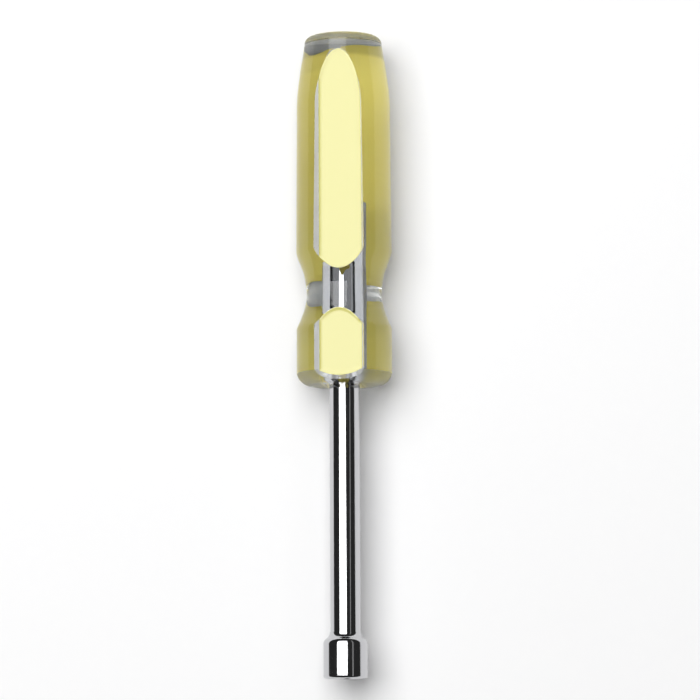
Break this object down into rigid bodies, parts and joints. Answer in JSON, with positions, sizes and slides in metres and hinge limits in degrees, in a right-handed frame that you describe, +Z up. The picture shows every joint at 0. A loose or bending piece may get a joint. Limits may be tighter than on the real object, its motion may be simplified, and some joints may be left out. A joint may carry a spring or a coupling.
{
  "type": "nut driver",
  "caption": "Hollow-shank nut driver with a clear waisted handle, painted flat faces, a chromed tube shank and a hexagonal nut socket.",
  "frame": {"origin": "centre of the box's base: the tool lies on its lower painted face", "axes": "+Y along the tool from the nut socket to the butt of the handle, +Z up out of the upper painted face, +X across"},
  "size_m": [0.0252, 0.1686, 0.0214],
  "materials": {
    "clear_handle": "clear polished acetate",
    "yellow_paint": "glossy pale yellow paint on the plastic",
    "chromed_shank": "polished chrome plate on steel tube",
    "chromed_socket": "polished chrome plate on steel"
  },
  "bodies": {
    "root": {"handle": "clear_handle", "grip_paint_top": "yellow_paint", "grip_paint_under": "yellow_paint", "collar_paint_top": "yellow_paint", "collar_paint_under": "yellow_paint", "shank": "chromed_shank", "socket": "chromed_socket"}
  },
  "joints": []
}
